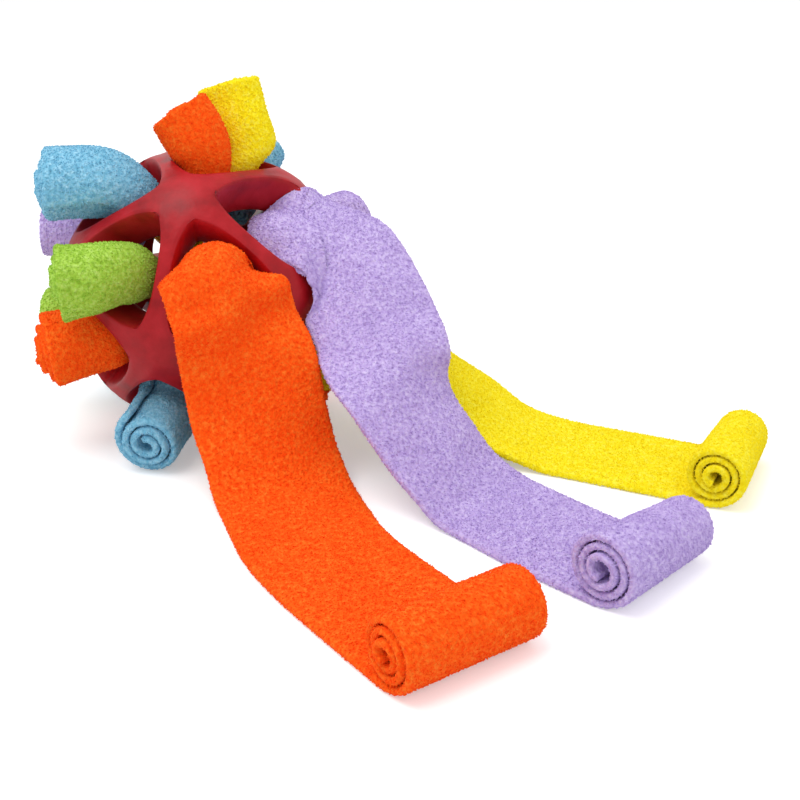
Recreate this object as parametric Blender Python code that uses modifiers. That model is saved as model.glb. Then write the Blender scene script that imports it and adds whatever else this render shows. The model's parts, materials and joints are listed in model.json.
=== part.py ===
# A foraging toy: a moulded rubber cage ball with rolled strips of fleece pushed into its windows.
# Metres, +Z up. The toy lies on the plane Z = 0, with the origin at the bottom centre of its box.
# The cage is an icosahedral lattice: 12 hubs, 30 struts and 20 three-cornered windows.

import math

import bmesh
import bpy
from mathutils import Matrix, Vector

collection_name = "snuffle_ball"

# Cage
cage_diameter = 0.118            # across two opposite hubs
wall_depth = 0.0130              # a strut's depth, towards the ball's centre
strut_half_width = 0.0062        # outer skin, from a strut's ridge to the edge of its window
strut_root_half_width = 0.0058   # the same on the inner skin
hub_swell_share = 0.45           # how far the struts bow out, from flat towards a full sphere
edge_rounding = 0.0027           # how much the rounded edges of the struts open a window
cage_turn_degrees = (33.1, 16.8, -26.2)   # how the ball lies: turned about X, then Y, then Z
floor_gap = 0.0003               # under the lowest hub, so that the soft strips carry the toy

# Fleece
fleece_width = 0.050
fleece_thickness = 0.0024
layer_gap = 0.0006               # air between the layers of a roll
core_radius = 0.0012             # the hole down the middle of a roll
fit_gap = 0.0004                 # between the fleece and the rubber it is squeezed by
roll_turns = 3
steps_per_turn = 8
sharp_edge_degrees = 50

# Tucked rolls
inner_end_depth = 0.0115         # how far the inner end lies below the window's face
rim_radius = 0.0150              # at the outer end
elbow_lift = 0.0060              # how far outside the window's face an elbow starts
gentle_bend_degrees = 30         # a roll that leans over further than this gets an elbow

# Unrolled strips
gathered_depths = (-0.0060, 0.0, 0.0105)   # out from the window's face, where a strip is curled up
curl_clearance = 0.0002          # besides fit_gap, round a curled strip
shoulder_width = 0.0030          # from a window's circle to the top of its struts
floor_roll_radius = 0.0122
flat_cup_degrees = 1             # a section cupped less than this is flat
columns_across = 4
steps_between_points = 2

# In an icosahedron a face lies this share of the hub radius from the centre, and the circle
# inside it has this share of that distance as its radius
face_share = math.sqrt((5 + 2 * math.sqrt(5)) / 15)
inside_circle_share = (3 - math.sqrt(5)) / 2

hub_radius = cage_diameter / 2
window_depth = hub_radius * face_share
neck_radius = window_depth * inside_circle_share - strut_half_width + edge_rounding - fit_gap
inner_end_radius = (window_depth - inner_end_depth) * inside_circle_share
inner_end_radius -= strut_root_half_width - edge_rounding + fit_gap

colours = {
    "red_rubber": ((0.42, 0.010, 0.020), 0.55),
    "orange_fleece": ((1.00, 0.13, 0.004), 0.95),
    "purple_fleece": ((0.52, 0.34, 0.80), 0.95),
    "yellow_fleece": ((0.90, 0.78, 0.005), 0.95),
    "green_fleece": ((0.30, 0.56, 0.06), 0.95),
    "blue_fleece": ((0.20, 0.52, 0.76), 0.95),
}

# Each tucked roll: its colour, its window's direction from the ball's centre (degrees round from
# +X, degrees up), the direction that its outer end points in, and the share of the fleece's width
# that stands proud of the window. rim_share is its outer end's share of rim_radius, squeeze_share
# its neck's share of the window, aside_shares moves it off the window's middle by shares of the
# neck, lift_share sets how far out its elbow starts, and swell_share how wide it is at the elbow.
# flat_shares press it flat, front to back, at the window and at its outer end, where two share a
# window, and sway_shares move it on aside beyond its elbow.
tucked_rolls = {
    "blue_roll_left_top": dict(fleece="blue", window=(-158, 54), tip=(-172, -1), proud_share=0.76,
                               squeeze_share=0.95, rim_share=1.08, lift_share=1.5),
    "green_roll_left": dict(fleece="green", window=(-121, 23), tip=(-168, 0), proud_share=0.62,
                            squeeze_share=0.90, aside_shares=(0, -0.08), rim_share=1.05, lift_share=2.2,
                            swell_share=0.6, sway_shares=(0, -0.30)),
    "orange_roll_left": dict(fleece="orange", window=(-140, -14), tip=(-162, -6), proud_share=0.52,
                             squeeze_share=1.05, rim_share=1.10),
    "purple_roll_left_back": dict(fleece="purple", window=(160, 26), tip=(166, 2), proud_share=0.54),
    "green_roll_left_back": dict(fleece="green", window=(177, -13), tip=(172, -14), proud_share=0.42,
                                 squeeze_share=1.05),
    "purple_roll_right": dict(fleece="purple", window=(40, 14), tip=(42, 6), proud_share=0.66,
                              squeeze_share=1.06, rim_share=1.04),
    "yellow_roll_right_low": dict(fleece="yellow", window=(-20, -26), tip=(-24, -14), proud_share=0.36,
                                  squeeze_share=1.05),
    "blue_roll_back_top": dict(fleece="blue", window=(72, 47), tip=(68, 36), proud_share=0.50,
                               squeeze_share=1.05),
    "yellow_roll_back_left": dict(fleece="yellow", window=(114, 22), tip=(116, 14), proud_share=0.64),
    "green_roll_back_low": dict(fleece="green", window=(103, -18), tip=(103, -8), proud_share=0.60,
                                squeeze_share=1.05),
    "purple_roll_back_right": dict(fleece="purple", window=(59, -23), tip=(58, -10), proud_share=0.58),
    "green_roll_front_low": dict(fleece="green", window=(-66, -22), tip=(-66, -22), proud_share=0.12,
                                 rim_share=0.90),
    "orange_roll_top": dict(fleece="orange", window=(0, 83), tip=(168, 56), proud_share=0.58,
                            squeeze_share=0.74, aside_shares=(-0.10, -0.44), rim_share=1.00, lift_share=1.8,
                            flat_shares=(0.68, 0.56), sway_shares=(-0.08, 0)),
    "yellow_roll_top": dict(fleece="yellow", window=(0, 83), tip=(145, 70), proud_share=0.74,
                            squeeze_share=0.80, aside_shares=(0.46, 0.38), rim_share=1.00, lift_share=1.2,
                            flat_shares=(0.60, 0.56), sway_shares=(0.48, 0.22)),
    "blue_roll_front_floor": dict(fleece="blue", window=(-108, -47), tip=(-98, -6), proud_share=0.72,
                                  squeeze_share=1.05, rim_share=0.90),
    "orange_roll_right_floor": dict(fleece="orange", window=(22, -54), tip=(5, 0), proud_share=0.52,
                                    squeeze_share=1.06, rim_share=0.70),
    "blue_roll_back_floor": dict(fleece="blue", window=(143, -43), tip=(143, 0), proud_share=0.66,
                                 squeeze_share=1.06, rim_share=0.80),
}

# Each unrolled strip: its colour, its window, how far its roll lies from the ball's upright axis in
# shares of the ball's radius, on what bearing, the shares of floor_roll_radius that the roll has
# at its right and left ends, and curl_share and drop_share, which fit its curl to its window and
# let it sink to the window's low side. A route point is (out, side, up, twist, cup): out and side
# in shares of the ball's radius, up in shares of the height of the ball's centre, twist and cup in
# degrees.
unrolled_strips = {
    "orange_strip": dict(
        fleece="orange", window=(-77, 18), reach_share=3.514, bearing=-63.0, roll_end_shares=(1.0, 1.0),
        curl_share=1.04,
        route_shares=[
            (0.97, -0.20, 1.44, -10, 150), (1.08, -0.17, 1.24, 16, 70),
            (1.14, -0.14, 0.90, 24, 24), (1.28, -0.11, 0.44, 20, 10),
            (1.50, -0.09, 0.08, 4, 0), (1.85, -0.12, 0, 0, 0),
            (2.22, -0.16, 0, 0, 0), (2.67, -0.13, 0, 0, 0)]),
    "purple_strip": dict(
        fleece="purple", window=(-37, 43), reach_share=3.537, bearing=-41.9, roll_end_shares=(1.08, 0.90),
        curl_share=0.88, drop_share=0.05,
        route_shares=[
            (0.86, 0.10, 1.70, 0, 110), (1.04, 0.15, 1.53, 0, 95),
            (1.25, 0.17, 1.31, 0, 70), (1.67, 0.08, 0.80, 0, 40),
            (2.00, 0.07, 0.34, 0, 20), (2.30, 0.09, 0.06, 0, 4),
            (2.60, 0.08, 0, 0, 0), (3.00, 0.03, 0, 0, 0)]),
    "yellow_strip": dict(
        fleece="yellow", window=(-3, 13), reach_share=3.576, bearing=-19.1, roll_end_shares=(1.0, 0.88),
        curl_share=1.07,
        route_shares=[
            (1.02, 0.24, 1.36, 0, 130), (1.20, 0.22, 1.10, 0, 70),
            (1.46, 0.14, 0.68, 0, 40), (1.80, 0.11, 0.36, 0, 20),
            (2.10, 0.12, 0.14, 0, 8), (2.42, 0.13, 0.02, 0, 0),
            (2.70, 0.11, 0, 0, 0), (3.10, 0.06, 0, 0, 0)]),
}


def remove_everything():
    for item in list(bpy.data.objects):
        bpy.data.objects.remove(item, do_unlink=True)


def make_material(name):
    colour, roughness = colours[name]
    material = bpy.data.materials.new(name)
    material.use_nodes = True
    shader = material.node_tree.nodes["Principled BSDF"]
    shader.inputs["Base Color"].default_value = (*colour, 1.0)
    shader.inputs["Roughness"].default_value = roughness
    shader.inputs["Metallic"].default_value = 0.0
    return material


def cage_turn():
    turn = Matrix.Identity(3)
    for degrees, axis in zip(cage_turn_degrees, ("X", "Y", "Z")):
        turn = Matrix.Rotation(math.radians(degrees), 3, axis) @ turn
    return turn


def face_axes(turn):
    """The 20 unit vectors from the ball's centre through the middle of each window."""
    lattice = bmesh.new()
    bmesh.ops.create_icosphere(lattice, subdivisions=1, radius=1)
    axes = [turn @ face.calc_center_median().normalized() for face in lattice.faces]
    lattice.free()
    return axes


def direction(round_degrees, up_degrees):
    round_angle = math.radians(round_degrees)
    up_angle = math.radians(up_degrees)
    level = math.cos(up_angle)
    return Vector((level * math.cos(round_angle), level * math.sin(round_angle),
                   math.sin(up_angle)))


def nearest_axis(axes, aim):
    return max(axes, key=lambda axis: axis.dot(direction(*aim)))


def swell(lattice, radius, flat_axes):
    """Bow a flat-faced skin out towards a sphere, by its share."""
    for vertex in lattice:
        heading = vertex.co.normalized()
        flat_share = face_share / max(heading.dot(axis) for axis in flat_axes)
        vertex.co *= 1 + hub_swell_share * (1 / flat_share - 1)


def build_cage(turn):
    """Two icosahedral skins with inset faces, the windows opened and joined through the wall."""
    cage = bmesh.new()
    flat_axes = face_axes(Matrix.Identity(3))
    inner_radius = hub_radius - wall_depth / face_share
    rims = []
    for radius, half_width in ((hub_radius, strut_half_width),
                               (inner_radius, strut_root_half_width)):
        made = bmesh.ops.create_icosphere(cage, subdivisions=1, radius=radius)
        faces = list({face for vertex in made["verts"] for face in vertex.link_faces})
        faces.sort(key=lambda face: tuple(round(c / radius, 3) for c in face.calc_center_median()))
        bmesh.ops.inset_individual(cage, faces=faces, thickness=half_width)
        rims.append([list(face.edges) for face in faces])
        bmesh.ops.delete(cage, geom=faces, context="FACES_ONLY")
    for outer_rim, inner_rim in zip(*rims):
        bmesh.ops.bridge_loops(cage, edges=outer_rim + inner_rim)
    bmesh.ops.recalc_face_normals(cage, faces=cage.faces)
    bmesh.ops.subdivide_edges(cage, edges=cage.edges, cuts=1, use_grid_fill=True)
    swell(cage.verts, hub_radius, flat_axes)
    mesh = bpy.data.meshes.new("rubber_cage")
    cage.to_mesh(mesh)
    cage.free()
    return smooth_cage(mesh, turn)


def smooth_cage(mesh, turn):
    """Round the lattice off, then bring the hubs back out to the named diameter."""
    rough = bpy.data.objects.new("rough_cage", mesh)
    bpy.context.scene.collection.objects.link(rough)
    smoothing = rough.modifiers.new("Smoothing", "SUBSURF")
    smoothing.levels = 1
    smoothing.render_levels = 1
    evaluated = rough.evaluated_get(bpy.context.evaluated_depsgraph_get())
    smooth = bpy.data.meshes.new_from_object(evaluated)
    bpy.data.objects.remove(rough, do_unlink=True)
    bpy.data.meshes.remove(mesh)
    reach = max(vertex.co.length for vertex in smooth.vertices)
    smooth.transform(turn.to_4x4() @ Matrix.Scale(hub_radius / reach, 4))
    smooth.shade_smooth()
    smooth.name = "rubber_cage"
    return smooth


def ribbon_solid(name, rows):
    """A closed strip of cloth. Each row runs across it as (outer point, inner point) pairs."""
    cloth = bmesh.new()
    outer = [[cloth.verts.new(pair[0]) for pair in row] for row in rows]
    inner = [[cloth.verts.new(pair[1]) for pair in row] for row in rows]
    last_row = len(rows) - 1
    last_column = len(rows[0]) - 1
    for i in range(last_row):
        for j in range(last_column):
            cloth.faces.new((outer[i][j], outer[i + 1][j], outer[i + 1][j + 1], outer[i][j + 1]))
            cloth.faces.new((inner[i][j], inner[i][j + 1], inner[i + 1][j + 1], inner[i + 1][j]))
        for j in (0, last_column):
            cloth.faces.new((outer[i][j], inner[i][j], inner[i + 1][j], outer[i + 1][j]))
    for i in (0, last_row):
        for j in range(last_column):
            cloth.faces.new((outer[i][j], outer[i][j + 1], inner[i][j + 1], inner[i][j]))
    bmesh.ops.recalc_face_normals(cloth, faces=cloth.faces)
    mesh = bpy.data.meshes.new(name)
    cloth.to_mesh(mesh)
    cloth.free()
    mesh.shade_smooth()
    mesh.set_sharp_from_angle(angle=math.radians(sharp_edge_degrees))
    return mesh


def layer_walls(radius, step, gap):
    """The outer and inner radius of a spiral's layer, this many steps in from its outside."""
    pitch = (radius + gap - core_radius) / (roll_turns + 1)
    outer = radius - pitch * step / steps_per_turn
    return outer, outer - (pitch - gap)


def least_layer_gap(rows):
    """The least distance between a roll's layers, measured on points along both walls."""
    def along(points):
        for start, end in zip(points, points[1:]):
            for quarter in range(4):
                yield start.lerp(end, quarter / 4)
    least = math.inf
    for column in range(len(rows[0])):
        for i in range(len(rows) - steps_per_turn - 1):
            inner_wall = [row[column][1] for row in rows[i:i + 2]]
            facing = [row[column][0] for row in rows[i + steps_per_turn - 1:i + steps_per_turn + 3]]
            gap = min((a - b).length for a in along(inner_wall) for b in along(facing))
            least = min(least, gap)
    return least


def roll_sections(spec, axis):
    """The centre, axis, radius and flatness of the sections that a tucked roll is wound through."""
    squeeze = spec.get("squeeze_share", 1)
    heading = direction(*spec["tip"])
    east = Vector((1, 0, 0))
    east = (east - axis * east.dot(axis)).normalized()
    north = axis.cross(east)
    aside_east, aside_north = spec.get("aside_shares", (0, 0))
    flat_neck, flat_rim = spec.get("flat_shares", (1, 1))
    sway_east, sway_north = spec.get("sway_shares", (0, 0))
    aside = (east * aside_east + north * aside_north) * neck_radius
    inner_share = (window_depth - inner_end_depth) / window_depth
    face = axis * window_depth + aside
    bend = axis.angle(heading)
    neck = neck_radius * squeeze
    sections = [(face * inner_share, axis, inner_end_radius * squeeze, flat_neck)]
    rim = rim_radius * spec.get("rim_share", 1)
    proud = fleece_width * spec["proud_share"]
    if bend < math.radians(gentle_bend_degrees) and "lift_share" not in spec:
        sections.append((face, axis.slerp(heading, 0.5), neck, flat_neck))
        sections.append((face + heading * proud, heading, rim, flat_rim))
        return sections
    elbow = 2 * rim * math.tan(bend / 2)
    lift = max(elbow / 2, elbow_lift * spec.get("lift_share", 1))
    corner = face + axis * lift + (east * sway_east + north * sway_north) * neck_radius
    sections.append((face, axis, neck, flat_neck))
    elbow_radius = neck + (rim - neck) * spec.get("swell_share", 1)
    sections.append((corner + heading * (elbow / 2), heading, elbow_radius, flat_rim))
    sections.append((corner + heading * (proud - lift), heading, rim, flat_rim))
    return sections


def tucked_roll_rows(sections, flat_way):
    frames = []
    sideways = sections[0][1].orthogonal().normalized()
    before = sections[0][1]
    for centre, axis, radius, flat in sections:
        sideways = before.rotation_difference(axis) @ sideways
        press = (flat_way - axis * flat_way.dot(axis)).normalized()
        frames.append((centre, sideways.copy(), axis.cross(sideways), radius, press, flat))
        before = axis
    rows = []
    for step in range(roll_turns * steps_per_turn + 1):
        angle = 2 * math.pi * step / steps_per_turn
        row = []
        for centre, sideways, across, radius, press, flat in frames:
            spoke = sideways * math.cos(angle) + across * math.sin(angle)
            spoke -= press * (spoke.dot(press) * (1 - flat))
            outer, inner = layer_walls(radius, step, layer_gap / flat)
            row.append((centre + spoke * outer, centre + spoke * inner))
        rows.append(row)
    return rows


def smooth_route(points):
    """Points read from a smooth curve through the given ones."""
    padded = [points[0]] + points + [points[-1]]
    route = []
    for i in range(1, len(padded) - 2):
        p0, p1, p2, p3 = padded[i - 1:i + 3]
        for step in range(steps_between_points):
            t = step / steps_between_points
            route.append(tuple(
                0.5 * (2 * b + (c - a) * t + (2 * a - 5 * b + 4 * c - d) * t ** 2
                       + (3 * b - a - 3 * c + d) * t ** 3)
                for a, b, c, d in zip(p0, p1, p2, p3)))
    route.append(tuple(points[-1]))
    return route


def gathered_points(axis, bearing, left, centre_height, curl_share, drop_share):
    """The route of a strip inside its window, where it is curled up nearly as wide as the window."""
    upward = Vector((0, 0, 1))
    upward = (upward - axis * upward.dot(axis)).normalized()
    points = []
    for depth in gathered_depths:
        slope = (neck_radius - inner_end_radius) / inner_end_depth
        radius = neck_radius + slope * min(depth, 0) - fleece_thickness / 2 - curl_clearance
        radius *= curl_share
        middle = axis * (window_depth + depth) + upward * (radius - neck_radius * drop_share)
        arc_degrees = math.degrees(fleece_width / radius)
        up_share = 1 + (middle.z - fleece_thickness / 2) / centre_height
        points.append((middle.dot(bearing) / hub_radius, middle.dot(left) / hub_radius, up_share,
                       0, arc_degrees))
    return points


def strip_rows(spec, axis, centre_height):
    """Sections along an unrolled strip: out of the window, down to the floor and into its roll."""
    bearing = direction(spec["bearing"], 0)
    left = Vector((0, 0, 1)).cross(bearing)
    centre = Vector((0, 0, centre_height))
    half = fleece_thickness / 2
    gathered = gathered_points(axis, bearing, left, centre_height, spec["curl_share"],
                               spec.get("drop_share", 0))
    route = smooth_route(gathered + spec["route_shares"] + [(spec["reach_share"], 0, 0, 0, 0)])
    middles = []
    for out, side, up, *_ in route:
        level = max(up, 0) * centre_height + half
        middles.append(bearing * (out * hub_radius) + left * (side * hub_radius)
                       + Vector((0, 0, level)))
    rows = []
    for i, (middle, point) in enumerate(zip(middles, route)):
        forward = (middles[min(i + 1, len(route) - 1)] - middles[max(i - 1, 0)]).normalized()
        section = cupped_section(middle, forward, *point[3:])
        row = []
        for place_across, face in section:
            lying = lie_on_ball(place_across, centre, axis)
            lying.z = max(lying.z, half)
            row.append((lying - face * half, lying + face * half))
        rows.append(row)
    return rows + floor_roll_rows(spec, middles, bearing)


def lie_on_ball(point, centre, axis):
    """Lift a point of the cloth off the struts, unless it is still within the window's circle."""
    spoke = point - centre
    aside = (spoke - axis * spoke.dot(axis)).length
    share = min((aside - neck_radius) / shoulder_width, 1)
    if share <= 0:
        return point
    edge_radius = math.hypot(window_depth, neck_radius)
    least = edge_radius + (hub_radius + fit_gap + fleece_thickness - edge_radius) * share
    return centre + spoke * max(least / spoke.length, 1)


def cupped_section(middle, forward, twist_degrees, cup_degrees):
    twist = math.radians(twist_degrees)
    level = Vector((0, 0, 1)).cross(forward).normalized()
    upward = forward.cross(level)
    across = level * math.cos(twist) + upward * math.sin(twist)
    normal = upward * math.cos(twist) - level * math.sin(twist)
    arc = math.radians(max(cup_degrees, 0))
    row = []
    for column in range(columns_across + 1):
        share = column / columns_across - 0.5
        angle = arc * share
        if arc > math.radians(flat_cup_degrees):
            bow = fleece_width / arc
            point = middle + across * (bow * math.sin(angle)) - normal * (bow * (1 - math.cos(angle)))
        else:
            point = middle + across * (fleece_width * share)
        row.append((point, normal * math.cos(angle) + across * math.sin(angle)))
    return row


def floor_roll_rows(spec, middles, bearing):
    """The roll at a strip's far end, wound up and back over the strip that leads to it."""
    forward = middles[-1] - middles[-2]
    forward.z = 0
    forward.normalize()
    left = Vector((0, 0, 1)).cross(forward)
    foot = Vector((middles[-1].x, middles[-1].y, 0))
    rows = []
    for step in range(1, roll_turns * steps_per_turn + 1):
        angle = 2 * math.pi * step / steps_per_turn - math.pi / 2
        spoke = forward * math.cos(angle) + Vector((0, 0, math.sin(angle)))
        row = []
        for column in range(columns_across + 1):
            share = column / columns_across
            right_end, left_end = spec["roll_end_shares"]
            radius = floor_roll_radius * (right_end + (left_end - right_end) * share)
            axis = foot + left * (fleece_width * (share - 0.5)) + Vector((0, 0, radius))
            pitch = fleece_thickness + layer_gap
            outer = radius - pitch * step / steps_per_turn
            row.append((axis + spoke * outer, axis + spoke * (outer - fleece_thickness)))
        rows.append(row)
    return rows


def place(collection, mesh, material, origin):
    """Put a mesh, made in the toy's own place, into an object with the given origin."""
    mesh.transform(Matrix.Translation(-origin))
    mesh.materials.append(material)
    item = bpy.data.objects.new(mesh.name, mesh)
    item.location = origin
    collection.objects.link(item)
    return item


def stand_on_origin(items):
    """Move the whole toy so that the bottom centre of its box is the origin."""
    corners = [item.location + vertex.co for item in items for vertex in item.data.vertices]
    low = Vector([min(corner[i] for corner in corners) for i in range(3)])
    high = Vector([max(corner[i] for corner in corners) for i in range(3)])
    middle = (low + high) / 2
    for item in items:
        item.location -= Vector((middle.x, middle.y, 0))
    print("box", [round(side, 4) for side in high - low], "lowest", round(low.z, 5))


def main():
    remove_everything()
    collection = bpy.data.collections.new(collection_name)
    bpy.context.scene.collection.children.link(collection)
    materials = {name: make_material(name) for name in colours}
    turn = cage_turn()
    axes = face_axes(turn)
    cage = build_cage(turn)
    centre_height = floor_gap - min(vertex.co.z for vertex in cage.vertices)
    centre = Vector((0, 0, centre_height))
    cage.transform(Matrix.Translation(centre))
    items = [place(collection, cage, materials["red_rubber"], centre)]
    gaps = []
    for name, spec in tucked_rolls.items():
        axis = nearest_axis(axes, spec["window"])
        rows = tucked_roll_rows(roll_sections(spec, axis), Vector((0, 1, 0)))
        gaps.append(least_layer_gap(rows))
        mesh = ribbon_solid(name, rows)
        mesh.transform(Matrix.Translation(centre))
        origin = centre + axis * window_depth
        items.append(place(collection, mesh, materials[spec["fleece"] + "_fleece"], origin))
    for name, spec in unrolled_strips.items():
        axis = nearest_axis(axes, spec["window"])
        rows = strip_rows(spec, axis, centre_height)
        gaps.append(least_layer_gap(rows[-roll_turns * steps_per_turn:]))
        mesh = ribbon_solid(name, rows)
        items.append(place(collection, mesh, materials[spec["fleece"] + "_fleece"], Vector()))
    stand_on_origin(items)
    print("least gap between a roll's layers:", round(min(gaps), 6), "m")


main()
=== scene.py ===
import json
import math

import bmesh
import bpy
from mathutils import Matrix, Vector, noise


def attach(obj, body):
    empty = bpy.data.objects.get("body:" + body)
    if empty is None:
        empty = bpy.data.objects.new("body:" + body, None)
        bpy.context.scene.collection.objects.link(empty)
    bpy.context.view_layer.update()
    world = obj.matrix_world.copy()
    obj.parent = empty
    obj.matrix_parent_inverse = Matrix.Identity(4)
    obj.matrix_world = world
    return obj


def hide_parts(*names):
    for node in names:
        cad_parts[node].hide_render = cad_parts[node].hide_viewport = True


# Snuffle ball: a rubber lattice with rolled and unrolled strips of fleece in its windows.
# Everything is in metres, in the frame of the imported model.

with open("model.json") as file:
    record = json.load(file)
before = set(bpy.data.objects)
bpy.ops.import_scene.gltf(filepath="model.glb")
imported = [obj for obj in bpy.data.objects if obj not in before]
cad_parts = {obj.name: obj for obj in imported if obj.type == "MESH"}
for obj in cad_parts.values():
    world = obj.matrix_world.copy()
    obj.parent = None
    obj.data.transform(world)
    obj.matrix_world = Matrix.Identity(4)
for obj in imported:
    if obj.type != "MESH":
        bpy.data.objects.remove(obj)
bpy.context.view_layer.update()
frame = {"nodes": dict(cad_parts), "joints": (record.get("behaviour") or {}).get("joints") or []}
print("frame loaded:", len(frame["nodes"]), "nodes")


# Shared helpers

def linear(hexColour):
    # a colour as it is seen, turned into the linear values that shaders take
    rgb = [int(hexColour[i:i + 2], 16) / 255 for i in (1, 3, 5)]
    return tuple(c / 12.92 if c <= 0.04045 else ((c + 0.055) / 1.055) ** 2.4 for c in rgb) + (1.0,)


def addNode(tree, kind, links=None, **settings):
    # links joins the node's sockets or sets their values, and settings are its own properties
    node = tree.nodes.new(kind)
    for key, value in settings.items():
        if hasattr(node, key):
            setattr(node, key, value)
    for key, value in (links or {}).items():
        socket = node.inputs[key]
        if isinstance(value, bpy.types.NodeSocket):
            tree.links.new(value, socket)
        else:
            socket.default_value = value
    return node


def newMaterial(name):
    material = bpy.data.materials.new(name)
    material.use_nodes = True
    tree = material.node_tree
    return material, tree, tree.nodes["Principled BSDF"]


def toneRamp(tree, value, places, tones):
    # three tones along a value, the first and last at its ends
    ramp = addNode(tree, "ShaderNodeValToRGB", dict(Fac=value))
    elements = ramp.color_ramp.elements
    for element, place, tone in zip(elements, (places[0], places[-1]), (tones[0], tones[-1])):
        element.position = place
        element.color = tone
    elements.new(places[1]).color = tones[1]
    return ramp.outputs["Color"]


def newPiece(name, mesh, material):
    piece = bpy.data.objects.new(name, mesh)
    bpy.context.scene.collection.objects.link(piece)
    mesh.materials.clear()
    mesh.materials.append(material)
    return piece


def applied(piece):
    # the piece with its modifiers turned into plain mesh
    graph = bpy.context.evaluated_depsgraph_get()
    mesh = bpy.data.meshes.new_from_object(piece.evaluated_get(graph))
    piece.modifiers.clear()
    piece.data = mesh
    return piece


def smoothed(piece, steps):
    smoothing = piece.modifiers.new("Smoothing", "SUBSURF")
    smoothing.levels = steps
    smoothing.render_levels = steps
    return applied(piece)


# Polar fleece, knitted and brushed: a matt nubby pile with soft sheen at grazing angles.
noiseSpan = 1.6           # a noise texture's scale of 1 makes spots about this far apart
pitSpan = 1.2             # and a cell texture's
fleeceLook = dict(
    nubSize=0.0010,       # one nub of the brushed pile
    nubTones=(0.30, 0.50, 0.72),
    patchSize=0.010,      # painted shade in patches, for pile that lies one way or the other
    patchRange=(0.40, 0.66),
    patchShare=0.30,      # how strongly such a patch darkens
    bumpHeight=0.00034,
    nubBump=0.8,
    pitBump=0.7,
    roughness=0.95,
    specular=0.15,
    sheen=0.20,
    sheenRoughness=0.50,
)

# each dye as it is seen: the middle tone, a painted-shade tone for the hollows between the nubs,
# and a painted-highlight tone for their tips
fleeceColours = {
    "orange": ("#FF6212", "#FB4E06", "#FF7E28"),
    "yellow": ("#FDEC1E", "#F5DC08", "#FFF552"),
    "purple": ("#C6B0E6", "#B097D4", "#DACBF2"),
    "green": ("#A8D24E", "#8FBA36", "#C2E474"),
    "blue": ("#86C4E0", "#68ACCB", "#A8DAF0"),
}


def makeFleece(colourName):
    base, shadedTone, litTone = (linear(c) for c in fleeceColours[colourName])
    material, tree, shader = newMaterial(colourName + "PolarFleece")
    place = addNode(tree, "ShaderNodeTexCoord").outputs["Object"]
    nubs = addNode(tree, "ShaderNodeTexNoise", dict(
        Vector=place, Scale=1 / fleeceLook["nubSize"] / noiseSpan, Detail=2.0, Roughness=0.6))
    patches = addNode(tree, "ShaderNodeTexNoise", dict(
        Vector=place, Scale=1 / fleeceLook["patchSize"] / noiseSpan, Detail=3.0, Roughness=0.55))
    # painted light: the nub noise that raises the bump also colours it, the hollows in the shaded
    # tone and the tips in the lit tone
    tones = toneRamp(tree, nubs.outputs["Fac"], fleeceLook["nubTones"], (shadedTone, base, litTone))
    patchLow, patchHigh = fleeceLook["patchRange"]
    patchRange = addNode(tree, "ShaderNodeMapRange", {
        "Value": patches.outputs["Fac"], "From Min": patchLow, "From Max": patchHigh,
        "To Min": 0.0, "To Max": fleeceLook["patchShare"]})
    # painted shade in patches: the patch noise mixes the nub tones towards the shaded tone
    mix = addNode(tree, "ShaderNodeMix", data_type="RGBA")
    tree.links.new(patchRange.outputs[0], mix.inputs["Factor"])
    tree.links.new(tones, mix.inputs[6])
    mix.inputs[7].default_value = shadedTone
    tree.links.new(mix.outputs[2], shader.inputs["Base Color"])
    pits = addNode(tree, "ShaderNodeTexVoronoi", dict(
        Vector=place, Scale=1 / fleeceLook["nubSize"] / pitSpan), feature="F1")
    bump = addNode(tree, "ShaderNodeBump", dict(
        Height=nubs.outputs["Fac"], Distance=fleeceLook["bumpHeight"] * 2,
        Strength=fleeceLook["nubBump"]))
    bumpTop = addNode(tree, "ShaderNodeBump", dict(
        Height=pits.outputs["Distance"], Distance=fleeceLook["bumpHeight"],
        Strength=fleeceLook["pitBump"], Normal=bump.outputs["Normal"]), invert=True)
    tree.links.new(bumpTop.outputs["Normal"], shader.inputs["Normal"])
    shader.inputs["Roughness"].default_value = fleeceLook["roughness"]
    shader.inputs["Specular IOR Level"].default_value = fleeceLook["specular"]
    shader.inputs["Sheen Weight"].default_value = fleeceLook["sheen"]
    shader.inputs["Sheen Roughness"].default_value = fleeceLook["sheenRoughness"]
    shader.inputs["Sheen Tint"].default_value = litTone
    return material


# Natural rubber, moulded and vulcanised: satin, with a fine grain from the mould, and mottled
# at random between a painted-shade red, the base red and a painted-highlight red.
rubberLook = dict(
    # a painted-shade red, the base red and a painted-highlight red
    tones=("#8E0A14", "#A8121C", "#B81E28"),
    tonePlaces=(0.32, 0.50, 0.70),
    mottleSize=0.007,
    mottleHeight=0.0006,
    mottleBump=0.35,
    grainSize=0.0009,
    grainHeight=0.00012,
    grainBump=0.6,
    mottleRange=(0.3, 0.7),
    roughness=(0.34, 0.48),
    refraction=1.52,
    specular=0.22,
)


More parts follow.
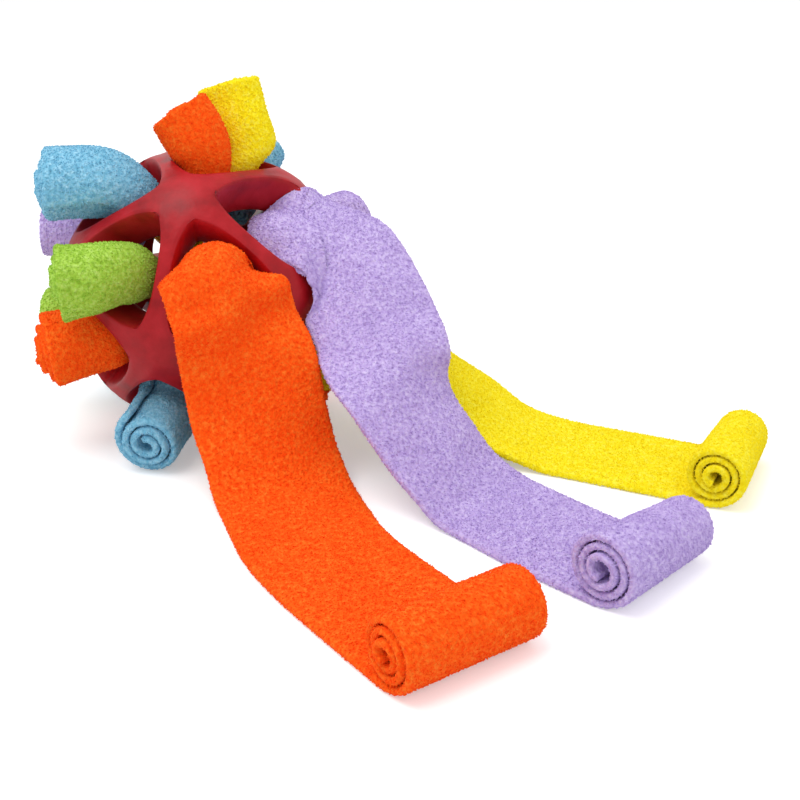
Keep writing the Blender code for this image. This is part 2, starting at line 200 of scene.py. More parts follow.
def makeRubber():
    material, tree, shader = newMaterial("redNaturalRubber")
    place = addNode(tree, "ShaderNodeTexCoord").outputs["Object"]
    mottle = addNode(tree, "ShaderNodeTexNoise", dict(
        Vector=place, Scale=1 / rubberLook["mottleSize"] / noiseSpan, Detail=4.0, Roughness=0.55))
    grain = addNode(tree, "ShaderNodeTexNoise", dict(
        Vector=place, Scale=1 / rubberLook["grainSize"] / noiseSpan, Detail=2.0, Roughness=0.5))
    tones = [linear(tone) for tone in rubberLook["tones"]]
    # painted light: the mottle that swells the bump also picks the red, the low places shaded and
    # the high places lit
    colour = toneRamp(tree, mottle.outputs["Fac"], rubberLook["tonePlaces"], tones)
    tree.links.new(colour, shader.inputs["Base Color"])
    low, high = rubberLook["mottleRange"]
    smooth, rough = rubberLook["roughness"]
    gloss = addNode(tree, "ShaderNodeMapRange", {
        "Value": mottle.outputs["Fac"], "From Min": low, "From Max": high,
        "To Min": smooth, "To Max": rough})
    tree.links.new(gloss.outputs[0], shader.inputs["Roughness"])
    swell = addNode(tree, "ShaderNodeBump", dict(
        Height=mottle.outputs["Fac"], Distance=rubberLook["mottleHeight"],
        Strength=rubberLook["mottleBump"]))
    bump = addNode(tree, "ShaderNodeBump", dict(
        Height=grain.outputs["Fac"], Distance=rubberLook["grainHeight"],
        Strength=rubberLook["grainBump"], Normal=swell.outputs["Normal"]))
    tree.links.new(bump.outputs["Normal"], shader.inputs["Normal"])
    shader.inputs["IOR"].default_value = rubberLook["refraction"]
    shader.inputs["Specular IOR Level"].default_value = rubberLook["specular"]
    return material


fleece = {name: makeFleece(name) for name in fleeceColours}
redRubber = makeRubber()
print("materials made")


# The lattice ball

# the cage's own shape comes from its solid: the first sizes place the cloth round it, and the
# last ones smooth its skin
ball = dict(
    diameter=0.118,
    turnDegrees=(33.1, 16.8, -26.2),
    strutHalfWidth=0.0062,
    strutRootHalfWidth=0.0058,
    edgeRounding=0.0027,
    fitGap=0.0004,
    hubSwell=0.45,         # how far the struts bow out, from flat towards a full sphere
    strutBulge=1.03,       # and how much their rounding adds to that
    innerEndDepth=0.0115,  # how far in from its window a strip begins
    weldDistance=0.00001,
    joinDegrees=50,
    joinShapeDegrees=60,
    edgeDegrees=24,        # edges bent more than this are kept tight, as a mould leaves them
    edgeTightness=0.55,
    smoothingSteps=2,
)
# an icosahedron's inscribed sphere, and the circle in each face, as shares of the sphere round it
# and of that inscribed sphere
faceShare = math.sqrt((5 + 2 * math.sqrt(5)) / 15)
circleShare = (3 - math.sqrt(5)) / 2
ballRadius = ball["diameter"] / 2
windowDepth = ballRadius * faceShare
neckRadius = (windowDepth * circleShare - ball["strutHalfWidth"] + ball["edgeRounding"]
              - ball["fitGap"])
innerEndRadius = ((windowDepth - ball["innerEndDepth"]) * circleShare
                  - ball["strutRootHalfWidth"] + ball["edgeRounding"] - ball["fitGap"])


def ballTurn():
    turn = Matrix.Identity(3)
    for degrees, axis in zip(ball["turnDegrees"], ("X", "Y", "Z")):
        turn = Matrix.Rotation(math.radians(degrees), 3, axis) @ turn
    return turn


def windowAxes():
    lattice = bmesh.new()
    bmesh.ops.create_icosphere(lattice, subdivisions=1, radius=1)
    turn = ballTurn()
    axes = [turn @ face.calc_center_median().normalized() for face in lattice.faces]
    lattice.free()
    return axes


def heading(roundDegrees, upDegrees):
    a, b = math.radians(roundDegrees), math.radians(upDegrees)
    return Vector((math.cos(b) * math.cos(a), math.cos(b) * math.sin(a), math.sin(b)))


def makeCage():
    mesh = frame["nodes"]["rubber_cage"].data.copy()
    work = bmesh.new()
    work.from_mesh(mesh)
    bmesh.ops.remove_doubles(work, verts=work.verts, dist=ball["weldDistance"])
    bmesh.ops.join_triangles(work, faces=work.faces,
                             angle_face_threshold=math.radians(ball["joinDegrees"]),
                             angle_shape_threshold=math.radians(ball["joinShapeDegrees"]))
    tight = work.edges.layers.float.new("crease_edge")
    for edge in work.edges:
        if edge.calc_face_angle(0) > math.radians(ball["edgeDegrees"]):
            edge[tight] = ball["edgeTightness"]
    work.to_mesh(mesh)
    work.free()
    mesh.shade_smooth()
    piece = newPiece("moulded_cage", mesh, redRubber)
    return smoothed(piece, ball["smoothingSteps"])


cage = makeCage()
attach(cage, "ball")
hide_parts("rubber_cage")
cageMesh = frame["nodes"]["rubber_cage"].data
ballCentre = sum((v.co for v in cageMesh.vertices), Vector()) / len(cageMesh.vertices)
axes = windowAxes()
print("cage made, its centre at", [round(c, 4) for c in ballCentre])


# Cloth

cloth = dict(
    width=0.050,
    thickness=0.0024,
    layerGap=0.0006,
    coreRadius=0.0012,
    turns=3,
    stepsPerTurn=24,
    columnLength=0.0030,
    rippleSeed=7,
    rippleSize=0.016,
    rippleHeight=0.0009,
    rippleRise=0.012,      # how far out from the window the ripples reach their full height
    rimWave=0.0014,        # how far the layers of a roll's cut edge lie out of line
    rimWavesPerTurn=1.5,
    fan=0.0007,            # how far each layer stands out beyond the one round it
    fieldPlaces=17,        # how many places in the noise field the pieces are shared out over
    smoothingSteps=1,
)
# without it the noise field would be another one in each run
noise.seed_set(cloth["rippleSeed"])


def clothMesh(name, rows, lengths, widths, shown):
    # rows of (outer point, inner point), with the place on the flat cloth kept as a UV map
    work = bmesh.new()
    uv = work.loops.layers.uv.new("flatCloth")
    share = work.verts.layers.float.new("pileShare")
    sides = []
    place = {}
    for side in (0, 1):
        grid = []
        for i, row in enumerate(rows):
            line = []
            for j, pair in enumerate(row):
                vertex = work.verts.new(pair[side])
                vertex[share] = shown(i, j, side)
                place[vertex] = (lengths[i], widths[j])
                line.append(vertex)
            grid.append(line)
        sides.append(grid)
    outer, inner = sides
    lastRow, lastColumn = len(rows) - 1, len(rows[0]) - 1
    for i in range(lastRow):
        for j in range(lastColumn):
            work.faces.new((outer[i][j], outer[i + 1][j], outer[i + 1][j + 1], outer[i][j + 1]))
            work.faces.new((inner[i][j], inner[i][j + 1], inner[i + 1][j + 1], inner[i + 1][j]))
        for j in (0, lastColumn):
            work.faces.new((outer[i][j], inner[i][j], inner[i + 1][j], outer[i + 1][j]))
    for i in (0, lastRow):
        for j in range(lastColumn):
            work.faces.new((outer[i][j], outer[i][j + 1], inner[i][j + 1], inner[i][j]))
    for face in work.faces:
        for loop in face.loops:
            loop[uv].uv = place[loop.vert]
    bmesh.ops.recalc_face_normals(work, faces=work.faces)
    mesh = bpy.data.meshes.new(name)
    work.to_mesh(mesh)
    work.free()
    mesh.shade_smooth()
    return mesh


def runningLengths(pairs):
    lengths = [0.0]
    for a, b in zip(pairs, pairs[1:]):
        lengths.append(lengths[-1] + (b[0] - a[0]).length)
    return lengths


def ownSeed(name):
    return sum(ord(c) for c in name) % cloth["fieldPlaces"]


def ripple(point, seed):
    # one smooth field for both faces and all layers, so that they move together
    spot = point / cloth["rippleSize"] + Vector((seed, seed * 0.7, -seed))
    return noise.noise_vector(spot) * cloth["rippleHeight"]


def finishCloth(name, mesh, colourName, node, body):
    piece = newPiece(name, mesh, fleece[colourName])
    smoothed(piece, cloth["smoothingSteps"])
    pile = makePile(piece, name + "_pile", fleece[colourName])
    for item in (piece, pile):
        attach(item, body)
    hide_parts(node)


# The pile, tufts of fibre

# short enough to read as nubs, and long enough to blur the outline
pileLook = dict(
    density=1500000.0,     # tufts to a square metre
    tuftLength=0.00052,
    tuftRadius=0.00032,
    tuftSides=3,
    lean=0.8,              # in radians, as spin is
    spin=6.28,
    sizes=(0.5, 1.3),      # the smallest and the largest share of a tuft's size
    seed=7,
)


def pileTree():
    tree = bpy.data.node_groups.new("fleecePile", "GeometryNodeTree")
    face = tree.interface
    face.new_socket("Cloth", in_out="INPUT", socket_type="NodeSocketGeometry")
    for label, value in (("Density", pileLook["density"]), ("Tuft Length", pileLook["tuftLength"]),
                         ("Tuft Radius", pileLook["tuftRadius"]), ("Lean", pileLook["lean"])):
        socket = face.new_socket(label, in_out="INPUT", socket_type="NodeSocketFloat")
        socket.default_value = value
    socket = face.new_socket("Seed", in_out="INPUT", socket_type="NodeSocketInt")
    socket.default_value = pileLook["seed"]
    face.new_socket("Material", in_out="INPUT", socket_type="NodeSocketMaterial")
    face.new_socket("Tufts", in_out="OUTPUT", socket_type="NodeSocketGeometry")
    given = addNode(tree, "NodeGroupInput").outputs
    share = addNode(tree, "GeometryNodeInputNamedAttribute", {"Name": "pileShare"},
                    data_type="FLOAT")
    density = addNode(tree, "ShaderNodeMath", {
        0: given["Density"], 1: share.outputs[0]}, operation="MULTIPLY")
    points = addNode(tree, "GeometryNodeDistributePointsOnFaces", {
        "Mesh": given["Cloth"], "Density": density.outputs[0], "Seed": given["Seed"]})
    tuft = addNode(tree, "GeometryNodeMeshCone", {
        "Vertices": pileLook["tuftSides"], "Radius Top": 0.0,
        "Radius Bottom": given["Tuft Radius"], "Depth": given["Tuft Length"]},
        fill_type="TRIANGLE_FAN")
    lean = addNode(tree, "ShaderNodeMath", {0: given["Lean"], 1: -1.0}, operation="MULTIPLY")
    least = addNode(tree, "ShaderNodeCombineXYZ", {
        "X": lean.outputs[0], "Y": lean.outputs[0], "Z": 0.0})
    most = addNode(tree, "ShaderNodeCombineXYZ", {
        "X": given["Lean"], "Y": given["Lean"], "Z": pileLook["spin"]})
    tilt = addNode(tree, "FunctionNodeRandomValue", {
        "Min": least.outputs[0], "Max": most.outputs[0], "Seed": given["Seed"]},
        data_type="FLOAT_VECTOR")
    turned = addNode(tree, "FunctionNodeRotateRotation", {
        "Rotation": points.outputs["Rotation"], "Rotate By": tilt.outputs[0]},
        rotation_space="LOCAL")
    least, most = pileLook["sizes"]
    size = addNode(tree, "FunctionNodeRandomValue", {
        2: least, 3: most, "Seed": given["Seed"]}, data_type="FLOAT")
    placed = addNode(tree, "GeometryNodeInstanceOnPoints", {
        "Points": points.outputs["Points"], "Instance": tuft.outputs["Mesh"],
        "Rotation": turned.outputs[0], "Scale": size.outputs[1]})
    real = addNode(tree, "GeometryNodeRealizeInstances", {"Geometry": placed.outputs[0]})
    coloured = addNode(tree, "GeometryNodeSetMaterial", {
        "Geometry": real.outputs[0], "Material": given["Material"]})
    addNode(tree, "NodeGroupOutput", {"Tufts": coloured.outputs[0]})
    return tree


def makePile(piece, name, material):
    carrier = bpy.data.objects.new(name, piece.data.copy())
    bpy.context.scene.collection.objects.link(carrier)
    growth = carrier.modifiers.new("Pile", "NODES")
    growth.node_group = fleecePile
    for item in fleecePile.interface.items_tree:
        if item.in_out == "INPUT" and item.name == "Material":
            growth[item.identifier] = material
        if item.in_out == "INPUT" and item.name == "Seed":
            growth[item.identifier] = pileLook["seed"] + len(name)
    return applied(carrier)


fleecePile = pileTree()


# Tucked rolls

# window and tip are directions, in degrees round from +X and up. proud is the share of the width
# that stands out of the window. rim and lift are shares of the sizes above, squeeze is a share of
# the window's radius, and swell says how much of the change to the rim's radius is made at the
# elbow. aside and sway are shares of the window's radius, and flat presses a roll front to back at
# its two ends. edge is where round the roll its outer layer ends, in degrees, flap is how far that
# end stands loose, and fan how far each layer stands out beyond the one round it.
rollSizes = dict(
    rimRadius=0.0150,
    elbowLift=0.0060,
    gentleBendDegrees=30,  # a roll that bends less than this has no elbow
    flapTurns=0.22,        # how much of the outer turn stands loose
    flap=0.0015,
    looseSteps=5,
    innerSteps=2,
    sameWay=0.001,         # two ways closer than this, in radians, are taken as one
)

rolls = {
    "blue_roll_left_top": dict(
        window=(-158, 54), tip=(-172, -1), proud=0.76, squeeze=0.95, rim=1.08, lift=1.5,
        edge=225, flap=0.0026, fan=0.0018),
    "green_roll_left": dict(
        window=(-121, 23), tip=(-168, 0), proud=0.62, squeeze=0.90, rim=1.05, lift=2.2,
        swell=0.6, aside=(0, -0.08), sway=(0, -0.30), flap=0.0030, fan=0.0016),
    "orange_roll_left": dict(
        window=(-140, -14), tip=(-162, -6), proud=0.52, squeeze=1.05, rim=1.10,
        flap=0.0020, fan=0.0018),
    "purple_roll_left_back": dict(window=(160, 26), tip=(166, 2), proud=0.54),
    "green_roll_left_back": dict(window=(177, -13), tip=(172, -14), proud=0.42, squeeze=1.05),
    "purple_roll_right": dict(window=(40, 14), tip=(42, 6), proud=0.66, squeeze=1.06, rim=1.04),
    "yellow_roll_right_low": dict(window=(-20, -26), tip=(-24, -14), proud=0.36, squeeze=1.05),
    "blue_roll_back_top": dict(window=(72, 47), tip=(68, 36), proud=0.50, squeeze=1.05),
    "yellow_roll_back_left": dict(window=(114, 22), tip=(116, 14), proud=0.64),
    "green_roll_back_low": dict(window=(103, -18), tip=(103, -8), proud=0.60, squeeze=1.05),
    "purple_roll_back_right": dict(window=(59, -23), tip=(58, -10), proud=0.58),
    "green_roll_front_low": dict(window=(-66, -22), tip=(-66, -22), proud=0.12, rim=0.90),
    "orange_roll_top": dict(
        window=(0, 83), tip=(168, 56), proud=0.58, squeeze=0.76, aside=(-0.10, -0.46),
        rim=1.00, lift=1.8, flat=(0.64, 0.56), sway=(-0.08, 0), flap=0.0008),
    "yellow_roll_top": dict(
        window=(0, 83), tip=(145, 70), proud=0.74, squeeze=0.80, aside=(0.46, 0.38),
        rim=1.00, lift=1.2, flat=(0.60, 0.56), sway=(0.48, 0.22), flap=0.0008),
    "blue_roll_front_floor": dict(
        window=(-108, -47), tip=(-98, -6), proud=0.72, squeeze=1.05, rim=0.90, flap=0.0012),
    "orange_roll_right_floor": dict(
        window=(22, -54), tip=(5, 0), proud=0.52, squeeze=1.06, rim=0.70),
    "blue_roll_back_floor": dict(
        window=(143, -43), tip=(143, 0), proud=0.66, squeeze=1.06, rim=0.80),
}


def rollSections(spec, axis):
    # from the inner end out: centre, way, radius and flatness
    squeeze = spec.get("squeeze", 1)
    tip = heading(*spec["tip"])
    east = Vector((1, 0, 0))
    east = (east - axis * east.dot(axis)).normalized()
    north = axis.cross(east)
    aside = spec.get("aside", (0, 0))
    sway = spec.get("sway", (0, 0))
    flatNeck, flatRim = spec.get("flat", (1, 1))
    face = axis * windowDepth + (east * aside[0] + north * aside[1]) * neckRadius
    innerShare = (windowDepth - ball["innerEndDepth"]) / windowDepth
    bend = axis.angle(tip)
    neck = neckRadius * squeeze
    rim = rollSizes["rimRadius"] * spec.get("rim", 1)
    proud = cloth["width"] * spec["proud"]
    sections = [(face * innerShare, axis, innerEndRadius * squeeze, flatNeck)]
    if bend < math.radians(rollSizes["gentleBendDegrees"]) and "lift" not in spec:
        sections.append((face, axis.slerp(tip, 0.5), neck, flatNeck))
        sections.append((face + tip * proud, tip, rim, flatRim))
        return sections
    elbow = 2 * rim * math.tan(bend / 2)
    lift = max(elbow / 2, rollSizes["elbowLift"] * spec.get("lift", 1))
    corner = face + axis * lift + (east * sway[0] + north * sway[1]) * neckRadius
    sections.append((face, axis, neck, flatNeck))
    elbowRadius = neck + (rim - neck) * spec.get("swell", 1)
    sections.append((corner + tip * (elbow / 2), tip, elbowRadius, flatRim))
    sections.append((corner + tip * (proud - lift), tip, rim, flatRim))
    return sections


def rollFrames(sections, pressWay):
    # the sections with their two cross directions, and the outermost stretch cut into short steps,
    # along which looseness grows from 0 to 1
    stretch = sections[-2:]
    count = rollSizes["looseSteps"]
    dense = [section + (0.0,) for section in sections[:-1]]
    for step in range(1, count + 1):
        t = step / count
        (c1, w1, r1, f1), (c2, w2, r2, f2) = stretch
        way = w1.slerp(w2, t) if w1.angle(w2) > rollSizes["sameWay"] else w2
        dense.append((c1.lerp(c2, t), way, r1 + (r2 - r1) * t, f1 + (f2 - f1) * t, t))
    frames = []
    across = dense[0][1].orthogonal().normalized()
    before = dense[0][1]
    for centre, way, radius, flat, loose in dense:
        across = before.rotation_difference(way) @ across
        press = (pressWay - way * pressWay.dot(way)).normalized()
        frames.append((centre, across.copy(), way.cross(across), radius, way, press, flat, loose))
        before = way
    return frames


def threadBetween(start, startWay, end, endWay, count):
    # a smooth thread that leaves and arrives along the given ways
    reach = (end - start).length
    points = []
    for k in range(count):
        t = k / count
        h1, h2 = 2 * t ** 3 - 3 * t ** 2 + 1, t ** 3 - 2 * t ** 2 + t
        h3, h4 = -2 * t ** 3 + 3 * t ** 2, t ** 3 - t ** 2
        points.append(start * h1 + startWay * (reach * h2) + end * h3 + endWay * (reach * h4))
    return points


def makeRoll(name, spec):
    colourName = name.split("_")[0]
    axis = max(axes, key=lambda a: a.dot(heading(*spec["window"])))
    frames = rollFrames(rollSections(spec, axis), Vector((0, 1, 0)))
    counts = []
    for a, b in zip(frames, frames[1:]):
        least = 1 if b[-1] else rollSizes["innerSteps"]
        counts.append(max(least, round((b[0] - a[0]).length / cloth["columnLength"])))
    seed = ownSeed(name)
    perTurn = cloth["stepsPerTurn"]
    rows = []
    for step in range(cloth["turns"] * perTurn + 1):
        turn = step / perTurn
        looseShare = max(0, 1 - turn / rollSizes["flapTurns"]) ** 2
        loosened = spec.get("flap", rollSizes["flap"]) * looseShare
        threads = []
        for side in (0, 1):
            keys = []
            for centre, across, up, radius, way, press, flat, loose in frames:
                angle = 2 * math.pi * turn + math.radians(spec.get("edge", 0))
                gap = cloth["layerGap"] / flat
                pitch = (radius + gap - cloth["coreRadius"]) / (cloth["turns"] + 1)
                wall = radius - pitch * turn - side * (pitch - gap) + loosened * loose
                spoke = across * math.cos(angle) + up * math.sin(angle)
                spoke -= press * (spoke.dot(press) * (1 - flat))
                slide = rimWave(turn, seed, spec.get("fan", cloth["fan"])) * loose ** 2
                keys.append(centre + spoke * wall + way * slide)
            thread = []
            for k in range(len(keys) - 1):
                thread += threadBetween(keys[k], frames[k][4], keys[k + 1], frames[k + 1][4],
                                        counts[k])
            thread.append(keys[-1])
            placed = []
            for spot in thread:
                rise = min(max(spot.dot(axis) - windowDepth, 0) / cloth["rippleRise"], 1)
                placed.append(ballCentre + spot + ripple(spot, seed) * rise)
            threads.append(placed)
        rows.append(list(zip(*threads)))
    last = len(rows[0]) - 1
    lengths = runningLengths([row[last // 2] for row in rows])
    widths = runningLengths(rows[0])
    cutWidth = sum(runningLengths(row)[-1] for row in rows) / len(rows)

    def shown(i, j, side):
        if j >= last:
            return 1.0
        if j < counts[0]:
            return 0.0
        return 1.0 if side == 0 and i <= perTurn + 1 else 0.0

    mesh = clothMesh(name, rows, lengths, widths, shown)
    body = name + "_body" if any(j["child"] == name + "_body" for j in frame["joints"]) else "ball"
    finishCloth(name.replace("_roll", "_rolled_fleece"), mesh, colourName,
                name, body)


def rimWave(turn, seed, fan):
    # the cut edges of a roll's layers never lie quite level
    wave = noise.noise(Vector((turn * cloth["rimWavesPerTurn"], seed * 1.7, 0.4)))
    return cloth["rimWave"] * wave + fan * (turn - cloth["turns"] / 2)


for rollName, rollSpec in rolls.items():
    makeRoll(rollName, rollSpec)
print("rolls made:", len(rolls))


# Unrolled strips

stripSizes = dict(
    gatheredDepths=(-0.0060, 0.0, 0.0105),
    curlClearance=0.0002,
    shoulderWidth=0.0030,
    ballClearance=0.0010,
    floorRollRadius=0.0122,
    columnsAcross=24,
    stepsBetweenPoints=7,
    pleats=1.5,            # waves across a strip that is pleated
    rollStepsPerTurn=24,
    foldStart=0.012,       # beyond the window, where its folds stand highest
    foldReach=0.070,       # and where they have died away
    rippleHeight=0.010,    # how high over the ground the ripples reach their full height
)

# a route point is (out, side, up, twist, cup, pleat): shares of the ball's radius and height, then
# degrees. gathered is how a pleated strip sits in its window: its rise and shift from the window's
# middle in shares of the window's radius, then its cup and pleat. inside lists such route points
# for a strip that leaves its window aslant. rollEnds are the sizes of the roll's two ends.
strips = {
    "orange_strip": dict(
        window=(-77, 18), reach=3.514, bearing=-63.0, rollEnds=(1.0, 1.0), curl=1.04,
        foldHeight=0.0022, foldCount=2.4, foldDrift=4,
        route=[(0.97, -0.20, 1.44, -10, 150), (1.08, -0.17, 1.24, 16, 70),
               (1.14, -0.14, 0.90, 24, 24), (1.28, -0.11, 0.44, 20, 10),
               (1.50, -0.09, 0.08, 4, 0), (1.85, -0.12, 0, 0, 0),
               (2.22, -0.16, 0, 0, 0), (2.67, -0.13, 0, 0, 0)]),
    "purple_strip": dict(
        window=(-37, 43), reach=3.537, bearing=-41.9, rollEnds=(1.08, 0.90),
        inside=[(0.479, -0.019, 1.465, 48, 200, 0), (0.581, 0.027, 1.517, 44, 200, 0),
                (0.698, 0.105, 1.523, 40, 185, 0)],
        foldHeight=0.0009, foldCount=1.6, foldDrift=4,
        route=[(0.796, 0.200, 1.507, 36, 140, 0), (0.865, 0.316, 1.469, 32, 78, 0),
               (1.14, 0.30, 1.21, 22, 46, 0), (1.41, 0.22, 0.955, 10, 32, 0),
               (1.67, 0.08, 0.71, 0, 25, 0), (2.00, 0.07, 0.34, 0, 20, 0),
               (2.30, 0.09, 0.06, 0, 4, 0), (2.60, 0.08, 0, 0, 0, 0),
               (3.00, 0.03, 0, 0, 0, 0)]),
    "yellow_strip": dict(
        window=(-3, 13), reach=3.576, bearing=-19.1, rollEnds=(1.0, 0.88),
        gathered=(-0.32, -0.32, 150, 65), foldHeight=0.0008, foldCount=1.8, foldDrift=4,
        route=[(1.07, 0.21, 1.01, -24, 71, 61), (1.24, 0.26, 0.91, -30, 116, 0),
               (1.53, 0.19, 0.58, -18, 37, 21), (1.80, 0.15, 0.35, 0, 25, 0),
               (2.10, 0.12, 0.14, 0, 8, 0), (2.42, 0.13, 0.02, 0, 0, 0),
               (2.70, 0.11, 0, 0, 0, 0), (3.10, 0.06, 0, 0, 0, 0)]),
}


def smoothRoute(points):
    padded = [points[0]] + points + [points[-1]]
    route = []
    for i in range(1, len(padded) - 2):
        p0, p1, p2, p3 = padded[i - 1:i + 3]
        for step in range(stripSizes["stepsBetweenPoints"]):
            t = step / stripSizes["stepsBetweenPoints"]
            route.append(tuple(
                0.5 * (2 * b + (c - a) * t + (2 * a - 5 * b + 4 * c - d) * t ** 2
                       + (3 * b - a - 3 * c + d) * t ** 3) for a, b, c, d in zip(p0, p1, p2, p3)))
    route.append(tuple(points[-1]))
    return route


def gatheredPoints(axis, bearing, left, spec):
    # inside its window a strip is curled up, or pleated where its own entry says so
    upward = Vector((0, 0, 1))
    upward = (upward - axis * upward.dot(axis)).normalized()
    sideways = upward.cross(axis)
    points = []
    for depth in stripSizes["gatheredDepths"]:
        if "gathered" in spec:
            rise, shift, cup, pleat = spec["gathered"]
            middle = axis * (windowDepth + depth) + (upward * rise + sideways * shift) * neckRadius
        else:
            slope = (neckRadius - innerEndRadius) / ball["innerEndDepth"]
            radius = (neckRadius + slope * min(depth, 0) - cloth["thickness"] / 2
                      - stripSizes["curlClearance"])
            radius *= spec["curl"]
            middle = axis * (windowDepth + depth) + upward * radius
            cup, pleat = math.degrees(cloth["width"] / radius), 0
        up = 1 + (middle.z - cloth["thickness"] / 2) / ballCentre.z
        out, side = middle.dot(bearing) / ballRadius, middle.dot(left) / ballRadius
        points.append((out, side, up, 0, cup, pleat))
    return points


def lieOnBall(point, centre, axis):
    # lifts a point of the cloth off the struts, unless it is still within the window's circle
    spoke = point - centre
    aside = (spoke - axis * spoke.dot(axis)).length
    share = min((aside - neckRadius) / stripSizes["shoulderWidth"], 1)
    if share <= 0:
        return point
    flatShare = faceShare / max(spoke.normalized().dot(a) for a in axes)
    skin = ballRadius * (flatShare + ball["hubSwell"] * (1 - flatShare)) * ball["strutBulge"]
    edge = math.hypot(windowDepth, neckRadius)
    least = edge + (skin + stripSizes["ballClearance"] + cloth["thickness"] / 2 - edge) * share
    return centre + spoke * max(least / spoke.length, 1)


def sectionAcross(middle, forward, twistDegrees, cupDegrees, pleatDegrees):
    # points and face directions across a strip, found by walking out from its middle at an angle
    # that the cup turns steadily and the pleats turn to and fro, so that its width is kept
    twist = math.radians(twistDegrees)
    level = Vector((0, 0, 1)).cross(forward).normalized()
    upward = forward.cross(level)
    across = level * math.cos(twist) + upward * math.sin(twist)
    normal = upward * math.cos(twist) - level * math.sin(twist)
    arc, pleat = math.radians(max(cupDegrees, 0)), math.radians(max(pleatDegrees, 0))
    columns = stripSizes["columnsAcross"]

    def slopeAt(share):
        return pleat * math.sin(2 * math.pi * stripSizes["pleats"] * share) - arc * share

    row = [None] * (columns + 1)
    for way in (1, -1):
        spot = middle.copy()
        for k in range(columns // 2 + 1):
            share = way * k / columns
            angle = slopeAt(share)
            facing = normal * math.cos(angle) - across * math.sin(angle)
            row[columns // 2 + way * k] = (spot.copy(), facing)
            angle = slopeAt(share + way / columns / 2)
            step = way * cloth["width"] / columns
            spot += (across * math.cos(angle) + normal * math.sin(angle)) * step
    return row


def foldShare(beyond):
    # soft folds fan out from the window and die away along the strip
    rise = min(max(beyond, 0) / stripSizes["foldStart"], 1)
    fall = min(max((stripSizes["foldReach"] - beyond) / stripSizes["foldReach"], 0), 1)
    return rise * fall * fall


def stripRows(name, spec):
    axis = max(axes, key=lambda a: a.dot(heading(*spec["window"])))
    bearing = heading(spec["bearing"], 0)
    left = Vector((0, 0, 1)).cross(bearing)
    centre = Vector((0, 0, ballCentre.z))
    foot = Vector((ballCentre.x, ballCentre.y, 0))
    half = cloth["thickness"] / 2
    seed = ownSeed(name)
    columns = stripSizes["columnsAcross"]
    gathered = spec["inside"] if "inside" in spec else gatheredPoints(axis, bearing, left, spec)
    given = [(tuple(point) + (0,))[:6] for point in spec["route"]]
    route = smoothRoute(gathered + given + [(spec["reach"], 0, 0, 0, 0, 0)])
    middles = [bearing * (out * ballRadius) + left * (side * ballRadius)
               + Vector((0, 0, max(up, 0) * ballCentre.z + half)) for out, side, up, *_ in route]
    walked = runningLengths([(middle,) for middle in middles])
    inWindow = (len(gathered) - 1) * stripSizes["stepsBetweenPoints"]
    rows = []
    for i, (middle, point) in enumerate(zip(middles, route)):
        forward = (middles[min(i + 1, len(route) - 1)] - middles[max(i - 1, 0)]).normalized()
        beyond = walked[i] - walked[inWindow]
        fold = spec["foldHeight"] * foldShare(beyond)
        row = []
        for j, (spot, face) in enumerate(sectionAcross(middle, forward, *point[3:])):
            lying = lieOnBall(spot, centre, axis)
            crease = (j / columns - 0.5) * spec["foldCount"] + beyond * spec["foldDrift"]
            lying += face * (fold * (0.5 + 0.5 * math.cos(2 * math.pi * crease)))
            lift = min(max(lying.z - half, 0) / stripSizes["rippleHeight"], 1)
            lift *= min(max(beyond, 0) / stripSizes["foldStart"], 1)
            lying += ripple(lying, seed) * lift
            lying.z = max(lying.z, half)
            row.append((foot + lying - face * half, foot + lying + face * half))
        rows.append(row)
    forward = middles[-1] - middles[-2]
    forward.z = 0
    forward.normalize()
    toe = foot + Vector((middles[-1].x, middles[-1].y, 0))
    return rows, floorRollRows(spec, toe, forward, seed)


def floorRollRows(spec, toe, forward, seed):
    left = Vector((0, 0, 1)).cross(forward)
    perTurn = stripSizes["rollStepsPerTurn"]
    right, leftEnd = spec["rollEnds"]
    rows = []
    for step in range(1, cloth["turns"] * perTurn + 1):
        angle = 2 * math.pi * step / perTurn - math.pi / 2
        spoke = forward * math.cos(angle) + Vector((0, 0, math.sin(angle)))
        row = []
        for column in range(stripSizes["columnsAcross"] + 1):
            share = column / stripSizes["columnsAcross"]
            radius = stripSizes["floorRollRadius"] * (right + (leftEnd - right) * share)
            wave = rimWave(step / perTurn, seed, cloth["fan"]) * (2 * share - 1) ** 3
            hub = toe + left * (cloth["width"] * (share - 0.5) + wave) + Vector((0, 0, radius))
            outer = radius - (cloth["thickness"] + cloth["layerGap"]) * step / perTurn
            row.append((hub + spoke * outer, hub + spoke * (outer - cloth["thickness"])))
        rows.append(row)
    return rows


def makeStrip(name, spec):
    colourName = name.split("_")[0]
    laid, rolled = stripRows(name, spec)
    rows = laid + rolled
    last = stripSizes["columnsAcross"]
    lengths = runningLengths([row[last // 2] for row in rows])
    widths = [cloth["width"] * j / last for j in range(last + 1)]

    def shown(i, j, side):
        if j in (0, last) or i < len(laid):
            return 1.0
        return 1.0 if side == 0 and i <= len(laid) + stripSizes["rollStepsPerTurn"] + 1 else 0.0

    mesh = clothMesh(name, rows, lengths, widths, shown)
    finishCloth(name.replace("_strip", "_fleece_strip"), mesh, colourName,
                name, "ball")


for stripName, stripSpec in strips.items():
    makeStrip(stripName, stripSpec)
print("strips made:", len(strips))


# Floor, light and camera

studio = dict(
    floorSize=6.0,
    floorDrop=0.0002,      # how far the floor lies under the toy
    floorColour="#F6F6F6",
    floorRoughness=0.9,
    floorGlow=0.34,
    skyStrength=0.74,
    lampTarget=(0, 0, 0.05),
    keyPlace=(-0.40, -0.15, 1.25),
    keyPower=8.5,
    keySize=0.9,
    fillPlace=(0.95, -0.85, 0.75),
    fillPower=1.6,
    fillSize=1.4,
)


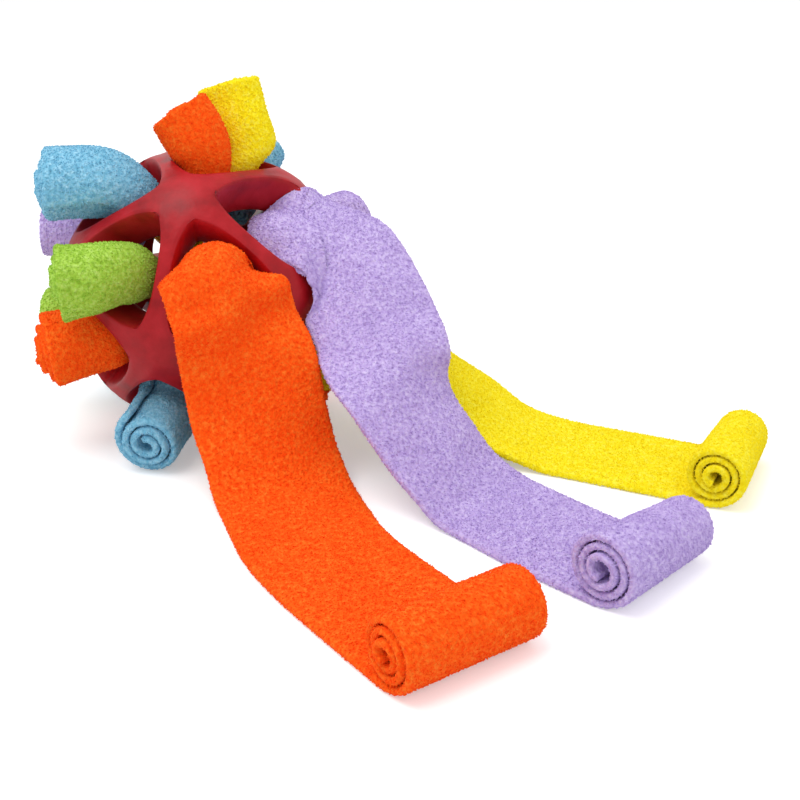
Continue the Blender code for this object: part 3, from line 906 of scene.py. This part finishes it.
def makeFloor():
    work = bmesh.new()
    bmesh.ops.create_grid(work, x_segments=2, y_segments=2, size=studio["floorSize"] / 2)
    mesh = bpy.data.meshes.new("floor")
    work.to_mesh(mesh)
    work.free()
    mesh.transform(Matrix.Translation((0, 0, -studio["floorDrop"])))
    material, tree, shader = newMaterial("palePaper")
    shader.inputs["Base Color"].default_value = linear(studio["floorColour"])
    shader.inputs["Roughness"].default_value = studio["floorRoughness"]
    path = addNode(tree, "ShaderNodeLightPath")
    glow = addNode(tree, "ShaderNodeMath", {
        0: path.outputs["Is Camera Ray"], 1: studio["floorGlow"]}, operation="MULTIPLY")
    shader.inputs["Emission Color"].default_value = (1, 1, 1, 1)
    tree.links.new(glow.outputs[0], shader.inputs["Emission Strength"])
    floor = newPiece("floor", mesh, material)


def makeWorld():
    # what looks at the sky straight, or in a reflection, sees it plain white
    world = bpy.data.worlds.new("studio")
    bpy.context.scene.world = world
    world.use_nodes = True
    tree = world.node_tree
    tree.nodes.clear()
    path = addNode(tree, "ShaderNodeLightPath")
    seen = path.outputs["Is Camera Ray"]
    for kind in ("Is Glossy Ray", "Is Transmission Ray"):
        seen = addNode(tree, "ShaderNodeMath", {0: seen, 1: path.outputs[kind]},
                       operation="MAXIMUM").outputs[0]
    strength = addNode(tree, "ShaderNodeMapRange", {
        "Value": seen, "To Min": studio["skyStrength"], "To Max": 1.0})
    back = addNode(tree, "ShaderNodeBackground", {
        "Color": (1, 1, 1, 1), "Strength": strength.outputs[0]})
    addNode(tree, "ShaderNodeOutputWorld", {"Surface": back.outputs[0]})


def makeLamp(name, place, power, size):
    lamp = bpy.data.lights.new(name, "AREA")
    lamp.energy = power
    lamp.size = size
    item = bpy.data.objects.new(name, lamp)
    bpy.context.scene.collection.objects.link(item)
    item.location = place
    aim = Vector(studio["lampTarget"]) - Vector(place)
    item.rotation_euler = aim.to_track_quat("-Z", "Y").to_euler()


makeFloor()
makeWorld()
makeLamp("keyLamp", studio["keyPlace"], studio["keyPower"], studio["keySize"])
makeLamp("fillLamp", studio["fillPlace"], studio["fillPower"], studio["fillSize"])

# where the photograph was taken from, and its lens
camera = dict(
    offset=(0.0799, -0.4714, 0.1393),  # from the ball's centre, for a ball of the next diameter
    madeFor=0.120,
    pitchDegrees=21.9,
    focalPixels=1177,
    imagePixels=800,
    sensorWidth=36,
    clipStart=0.01,
)
eye = bpy.data.cameras.new("camera")
eyeObject = bpy.data.objects.new("camera", eye)
bpy.context.scene.collection.objects.link(eyeObject)
eyeObject.location = ballCentre + Vector(camera["offset"]) * (ball["diameter"] / camera["madeFor"])
eyeObject.rotation_euler = (math.radians(90 - camera["pitchDegrees"]), 0, 0)
eye.sensor_width = camera["sensorWidth"]
eye.lens = camera["sensorWidth"] * camera["focalPixels"] / camera["imagePixels"]
eye.clip_start = camera["clipStart"]
bpy.context.scene.camera = eyeObject
bpy.context.scene.view_settings.view_transform = "Standard"
